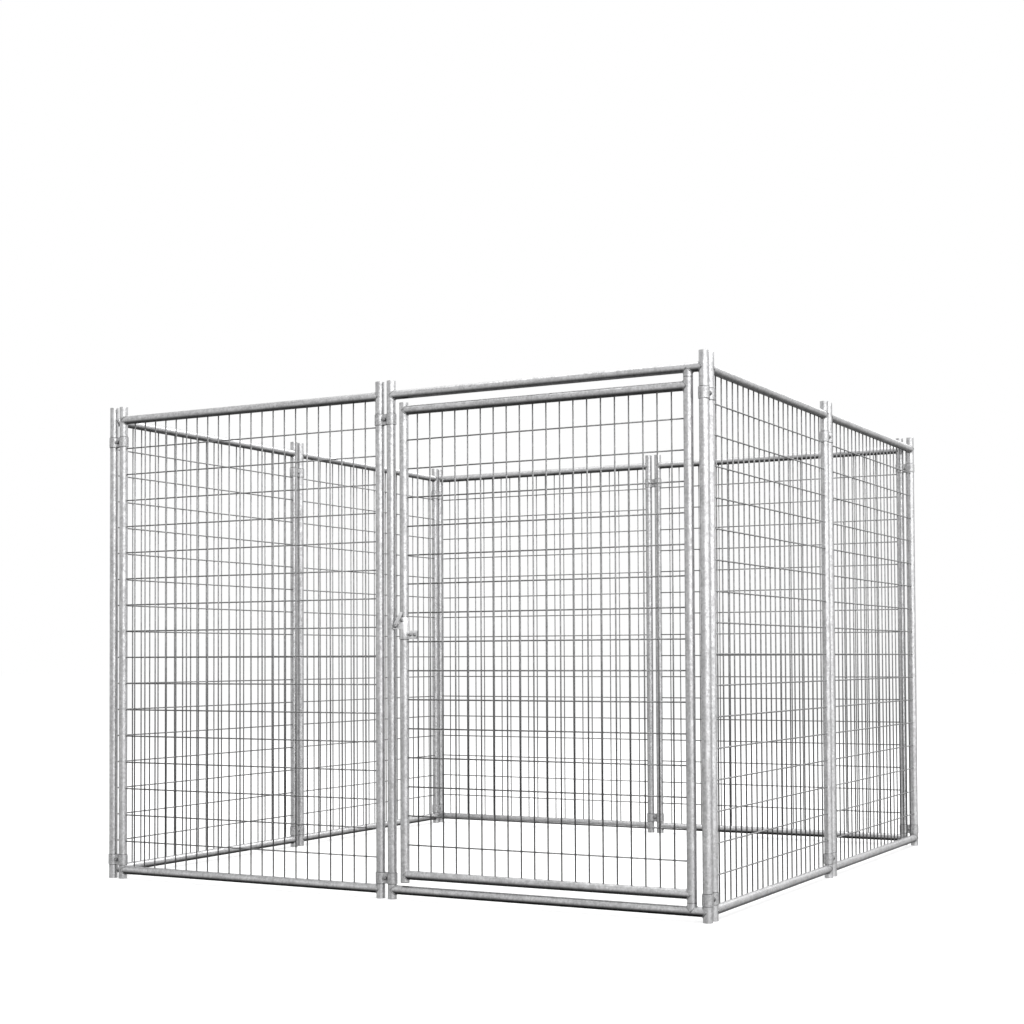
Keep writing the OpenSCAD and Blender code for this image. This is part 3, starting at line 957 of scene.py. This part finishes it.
@dataclass
class PanelClamps:
    """The bolted clamps that hold the posts of two panels side by side.

    Attributes:
        pairs: post nodes of each pair, by the side of the run that the pair stands on.
        height: height of a clamp.
        sheet: thickness of its plate.
        fit: gap between plate and post.
        split: from the plane of the posts to the inner face of the flat web.
        bend: radius of the plate's middle line where it bends to the web.
        bevel: of the plate's edges.
        steps: lengths of plate round a saddle and round a bend.
        bolt: its bolt.
        nut: its nut.
    """

    pairs: tuple[tuple[int, str, str], ...] = (
        (0, "left_front_post_b", "front_left_post_a"), (0, "front_left_post_b", "gate_post_latch"),
        (1, "gate_post_hinge", "right_front_post_a"), (1, "right_front_post_b", "right_back_post_a"),
        (2, "right_back_post_b", "back_right_post_a"), (2, "back_right_post_b", "back_left_post_a"),
        (3, "back_left_post_b", "left_back_post_a"), (3, "left_back_post_b", "left_front_post_a"),
    )
    height: float = CLAMP_HEIGHT
    sheet: float = 2.5 * MM
    fit: float = 0.05 * MM
    split: float = 6 * MM
    bend: float = 2.2 * MM
    bevel: float = 0.45 * MM
    steps: tuple[int, int] = (24, 6)
    bolt: BoltShape = BoltShape(14 * MM, 4.5 * MM, 8 * MM, 26.5 * MM)
    nut: NutShape = NutShape(13 * MM, 6.5 * MM, 8 * MM)

    def build(self, rows: FastenerRows) -> None:
        """Makes the plates, bolts and nuts of all the clamps.

        Args:
            rows: the tree that repeats a fastener.
        """
        places = self.places()
        turned = [(place, Euler((0, 0, angle.z + math.pi))) for place, angle in places]
        plate = self.plate()
        bolt, nut = Shape(), Shape()
        seat = self.split + self.sheet
        lie = Matrix.Rotation(math.pi / 2, 4, "X")
        self.bolt.add(bolt, Matrix.Translation((0, seat, self.height / 2)) @ lie)
        self.nut.add(nut, Matrix.Translation((0, -seat, self.height / 2)) @ lie)
        sets = (
            ("clamp_outer_plates", plate, places, "clamp_outer_halves"),
            ("clamp_inner_plates", plate, turned, "clamp_inner_halves"),
            ("clamp_bolt_set", bolt, places, "clamp_bolts"),
            ("clamp_nut_set", nut, places, "clamp_nuts"),
        )
        for name, shape, spots, node in sets:
            finish = CLAMP_ZINC if shape is plate else BOLT_ZINC
            add_piece(name, rows.repeat(shape, spots, finish), finish, Body.PEN, [node])

    def places(self) -> list[Place]:
        """Lists the clamps.

        Returns:
            The place of each clamp's lower edge, midway between its posts, and its turn.
        """
        found = []
        for side, first, last in self.pairs:
            place = (middle(first) + middle(last)) / 2
            for level in (CLAMP_LOW, CLAMP_TOP - self.height):
                found.append((Vector((place.x, place.y, level)), Euler((0, 0, math.pi / 2 * side))))
        return found

    def plate(self) -> Shape:
        """Makes one half: two saddles round the posts and the flat web between them.

        Returns:
            The half on the -Y side, about the middle of its lower edge.
        """
        pair = (middle(self.pairs[0][1]) - middle(self.pairs[0][2])).length
        mid = TUBE.radius + self.fit + self.sheet / 2
        web = self.split + self.sheet / 2
        rise = web + self.bend
        tip = pair / 2 - math.sqrt((mid + self.bend) ** 2 - rise**2)
        tilt = math.atan2(rise, pair / 2 - tip)
        start = -math.asin(self.split / mid)
        around, bends = self.steps
        stations: list[tuple[Vector, Vector]] = []
        for step in range(around + 1):
            angle = start + (tilt - math.pi - start) * step / around
            out = Vector((math.cos(angle), math.sin(angle), 0))
            stations.append((Vector((pair / 2, 0, 0)) + mid * out, out))
        for step in range(1, bends + 1):
            angle = tilt + (math.pi / 2 - tilt) * step / bends
            out = Vector((math.cos(angle), math.sin(angle), 0))
            stations.append((Vector((tip, -rise, 0)) + self.bend * out, -out))
        flip = Matrix.Scale(-1, 3, (1, 0, 0))
        stations += [(flip @ point, flip @ out) for point, out in reversed(stations)]
        half, edge, top = self.sheet / 2, self.bevel, self.height
        section = [
            (edge - half, 0), (half - edge, 0), (half, edge), (half, top - edge),
            (half - edge, top), (edge - half, top), (-half, top - edge), (-half, edge),
        ]
        rings = [[point + out * offset + UP * level for offset, level in section] for point, out in stations]
        ends = [[sum(ring, Vector()) / len(ring)] for ring in (rings[0], rings[-1])]
        shape = Shape()
        shape.skin([ends[0], *rings, ends[1]], Matrix.Identity(4), looped=False)
        return shape


@dataclass
class GateHinge:
    """The stubs that carry the gate's pins.

    Attributes:
        lip: from the rail's middle line to where a stub's cope stops.
        gap: between a stub and the stile that turns on it.
    """

    lip: float = 4 * MM
    gap: float = 0.5 * MM

    def build(self) -> None:
        """Makes the stubs and coats the pins."""
        cope = TUBE.cope(TUBE_FIT)
        stile_low, stile_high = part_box("leaf_hinge_stile")
        axis = middle("leaf_hinge_stile")
        work = bmesh.new()
        for rail, end in (("bottom", stile_low[2] - self.gap), ("top", stile_high[2] + self.gap)):
            level = middle(f"gate_frame_{rail}_rail").z
            place = Matrix.Translation((axis.x, axis.y, level))
            if end < level:
                place = place @ Matrix.Rotation(math.pi, 4, "X")
            length = abs(end - level)
            stub = TUBE.mesh(
                "stub", place, lambda x, y: max(cope(y), self.lip), lambda x, y, length=length: length
            )
            work.from_mesh(stub)
        mesh = bpy.data.meshes.new("hinge_stub_tubes")
        work.to_mesh(mesh)
        work.free()
        face_outwards(mesh)
        add_piece("hinge_stub_tubes", mesh, HINGE_ZINC, Body.PEN, ["hinge_stubs"])
        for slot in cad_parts["hinge_pins"].material_slots:
            slot.material = FITTING_ZINC.material()

    def joints(self) -> list[Place]:
        """Lists where the stubs meet the frame's rails, for the weld beads."""
        axis = middle("leaf_hinge_stile")
        found = []
        for rail, tilt in (("bottom", -math.pi / 2), ("top", math.pi / 2)):
            level = middle(f"gate_frame_{rail}_rail").z
            found.append((Vector((axis.x, axis.y, level)), Euler((0, tilt, 0))))
        return found


MERGE_DISTANCE = 0.002 * MM
FLAT_ANGLE = math.radians(0.8)
EDGE_ANGLE = math.radians(35)


def bevelled_copy(node: str, width: float) -> bpy.types.Mesh:
    """Copies a CAD node's mesh with its sharp edges rounded.

    Args:
        node: the CAD node.
        width: width of the rounded edge.

    Returns:
        The new mesh.
    """
    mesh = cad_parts[node].data.copy()
    mesh.name = f"{node}_rounded"
    work = bmesh.new()
    work.from_mesh(mesh)
    bmesh.ops.remove_doubles(work, verts=work.verts, dist=MERGE_DISTANCE)
    bmesh.ops.dissolve_limit(work, angle_limit=FLAT_ANGLE, verts=work.verts, edges=work.edges)
    sharp = [edge for edge in work.edges if edge.calc_face_angle(0.0) > EDGE_ANGLE]
    bmesh.ops.bevel(
        work, geom=sharp, offset=width, offset_type="OFFSET", segments=2, profile=0.5, affect="EDGES",
        clamp_overlap=True,
    )
    work.to_mesh(mesh)
    work.free()
    mesh.shade_smooth()
    mesh.set_sharp_from_angle(angle=SMOOTH_ANGLE)
    return mesh


@dataclass
class GateLatch:
    """The band on the latch stile and the fork that drops over the post.

    Attributes:
        edge: rounding of the plates' edges.
        bolt_edge: rounding of the bolts and nuts.
    """

    edge: float = 0.4 * MM
    bolt_edge: float = 0.5 * MM

    def build(self) -> None:
        """Makes the band, the fork and their bolts and nuts."""
        for node, body in (
            ("latch_band_front", Body.GATE), ("latch_band_back", Body.GATE),
            ("fork_prong_front", Body.FORK), ("fork_prong_back", Body.FORK),
        ):
            mesh = bevelled_copy(node, self.edge)
            add_piece(f"{node}_plate", mesh, FITTING_ZINC, body, [node])
        for node, body in (
            ("latch_tail_bolts", Body.GATE), ("latch_cross_bolt", Body.GATE), ("latch_band_nuts", Body.GATE),
            ("fork_bolt", Body.FORK), ("fork_nut", Body.FORK),
        ):
            mesh = bevelled_copy(node, self.bolt_edge)
            add_piece(f"{node}_rounded", mesh, BOLT_ZINC, body, [node])


@dataclass(frozen=True)
class Viewpoint:
    """The photograph's camera.

    Attributes:
        place: where it stands.
        yaw: turn to the right of +Y, in degrees.
        pitch: tilt upwards, in degrees.
        roll: turn about its own axis, in degrees.
        lens: focal length, in millimetres.
        sensor: width of the sensor, in millimetres.
        shift: shift of the picture, as a share of its width.
        reach: how far it sees.
    """

    place: tuple[float, float, float] = (3.2373, -6.2204, 0.8406)
    yaw: float = -28.566
    pitch: float = 1.6655
    roll: float = -0.2555
    lens: float = 58.76
    sensor: float = 36.0
    shift: tuple[float, float] = (0.0022, 0.0962)
    reach: float = 200.0

    def build(self) -> None:
        """Makes the camera and gives it to the scene."""
        data = bpy.data.cameras.new("photo_camera")
        data.sensor_width = self.sensor
        data.lens = self.lens
        data.shift_x, data.shift_y = self.shift
        data.clip_end = self.reach
        yaw, pitch, roll = (math.radians(value) for value in (self.yaw, self.pitch, self.roll))
        ahead = Vector((math.sin(yaw) * math.cos(pitch), math.cos(yaw) * math.cos(pitch), math.sin(pitch)))
        right = Vector((math.cos(yaw), -math.sin(yaw), 0))
        up = right.cross(ahead)
        level = right * math.cos(roll) + up * math.sin(roll)
        rise = up * math.cos(roll) - right * math.sin(roll)
        camera = bpy.data.objects.new("photo_camera", data)
        turn = Matrix((level, rise, -ahead)).transposed().to_4x4()
        camera.matrix_world = Matrix.Translation(self.place) @ turn
        bpy.context.scene.collection.objects.link(camera)
        bpy.context.scene.camera = camera


@dataclass
class Studio:
    """A pale floor under soft light.

    Attributes:
        floor_size: width of the floor.
        floor_grey: grey of the floor.
        floor_glow: brightness of the floor's own light, as on a light table.
        backdrop: brightness behind the run.
        sky: height and brightness of each level of the surroundings, from the ground up.
        aim: point that the lights face.
        lights: name, place, width, height and power of each soft light.
    """

    floor_size: float = 160.0
    floor_grey: float = 0.55
    floor_glow: float = 0.53
    backdrop: float = 1.0
    sky: tuple[tuple[float, float], ...] = (
        (-0.86, 0.0), (-0.5, 0.32), (0.0, 0.83), (0.45, 1.08), (1.0, 0.65),
    )
    aim: tuple[float, float, float] = (0.0, 0.0, 0.9)
    lights: tuple[tuple[str, tuple[float, float, float], float, float, float], ...] = (
        ("side_light", (9.0, -2.0, 2.8), 9.0, 6.0, 250.0),
        ("front_light", (6.5, -7.5, 3.2), 8.0, 6.0, 275.0),
        ("top_light", (0.5, 0.0, 7.5), 8.0, 8.0, 360.0),
        ("back_light", (2.5, 7.5, 7.5), 10.0, 4.5, 480.0),
    )

    def build(self) -> None:
        """Makes the floor, the surroundings and the lights."""
        bpy.context.scene.view_settings.view_transform = "Standard"
        self.floor()
        self.world()
        for name, place, width, height, power in self.lights:
            data = bpy.data.lights.new(name, "AREA")
            data.shape = "RECTANGLE"
            data.size, data.size_y = width, height
            data.energy = power
            light = bpy.data.objects.new(name, data)
            turn = (Vector(self.aim) - Vector(place)).to_track_quat("-Z", "Y")
            light.matrix_world = Matrix.Translation(place) @ turn.to_matrix().to_4x4()
            light.visible_camera = False
            bpy.context.scene.collection.objects.link(light)

    def floor(self) -> None:
        """Makes the floor, matt and left out of polished reflections."""
        half = self.floor_size / 2
        mesh = bpy.data.meshes.new("floor")
        corners = [(-half, -half, 0), (half, -half, 0), (half, half, 0), (-half, half, 0)]
        mesh.from_pydata(corners, [], [(0, 1, 2, 3)])
        made = bpy.data.materials.new("floor_paint")
        made.use_nodes = True
        graph = Graph(made.node_tree)
        glow = (self.floor_glow, self.floor_glow, self.floor_glow, 1)
        shader = graph.add(
            "ShaderNodeBsdfPrincipled",
            {
                "Base Color": (self.floor_grey, self.floor_grey, self.floor_grey, 1), "Roughness": 1.0,
                "Specular IOR Level": 0.0, "Emission Color": glow, "Emission Strength": 1.0,
            },
        )
        graph.add("ShaderNodeOutputMaterial", {"Surface": shader.outputs[0]})
        mesh.materials.append(made)
        floor = bpy.data.objects.new("floor", mesh)
        floor.visible_glossy = False
        bpy.context.scene.collection.objects.link(floor)

    def world(self) -> None:
        """Makes the surroundings: dark below, brighter overhead, and plain white behind the run."""
        world = bpy.data.worlds.new("studio")
        bpy.context.scene.world = world
        world.use_nodes = True
        graph = Graph(world.node_tree)
        spot = graph.add("ShaderNodeTexCoord").outputs["Generated"]
        height = graph.add("ShaderNodeSeparateXYZ", {0: spot}).outputs[2]
        ramp = graph.add("ShaderNodeValToRGB", {0: graph.sum("MULTIPLY_ADD", height, 0.5, 0.5)})
        stops = ramp.color_ramp.elements
        places = [0.5 + level / 2 for level, _ in self.sky]
        stops[0].position, stops[1].position = places[0], places[-1]
        for place in places[1:-1]:
            stops.new(place)
        for stop, (_, bright) in zip(stops, self.sky):
            stop.color = (bright, bright, bright, 1)
        around = graph.add("ShaderNodeBackground", {0: ramp.outputs[0]})
        behind = graph.add("ShaderNodeBackground", {0: (self.backdrop, self.backdrop, self.backdrop, 1)})
        seen = graph.add("ShaderNodeLightPath").outputs["Is Camera Ray"]
        mixed = graph.add("ShaderNodeMixShader", {0: seen, 1: around.outputs[0], 2: behind.outputs[0]})
        graph.add("ShaderNodeOutputWorld", {"Surface": mixed.outputs[0]})


def main() -> None:
    """Builds the run piece by piece."""
    logging.basicConfig(level=logging.INFO, format="%(message)s")
    wires, rows, beads = WireSheets(), FastenerRows(), WeldBeads()
    names = ("front_left", "right_front", "right_back", "back_right", "back_left", "left_back", "left_front")
    frames = [TubeFrame.panel(name) for name in names]
    frames.append(
        TubeFrame(
            "gate_frame", Body.PEN, "gate_post_latch", "gate_post_hinge",
            ("gate_frame_top_rail", "gate_frame_bottom_rail"),
        )
    )
    frames.append(
        TubeFrame(
            "leaf", Body.GATE, "leaf_latch_stile", "leaf_hinge_stile", ("leaf_top_rail", "leaf_bottom_rail"),
            "leaf_mesh", counts=(20, 15),
        )
    )
    hinge = GateHinge()
    joints = {Body.PEN: hinge.joints(), Body.GATE: []}
    for tubes in frames:
        tubes.build(wires)
        joints[tubes.body] += tubes.joints()
    hinge.build()
    for body, places in joints.items():
        beads.lay(places, body)
    PanelClamps().build(rows)
    GateLatch().build()
    Studio().build()
    Viewpoint().build()


if __name__ == "__main__":
    main()
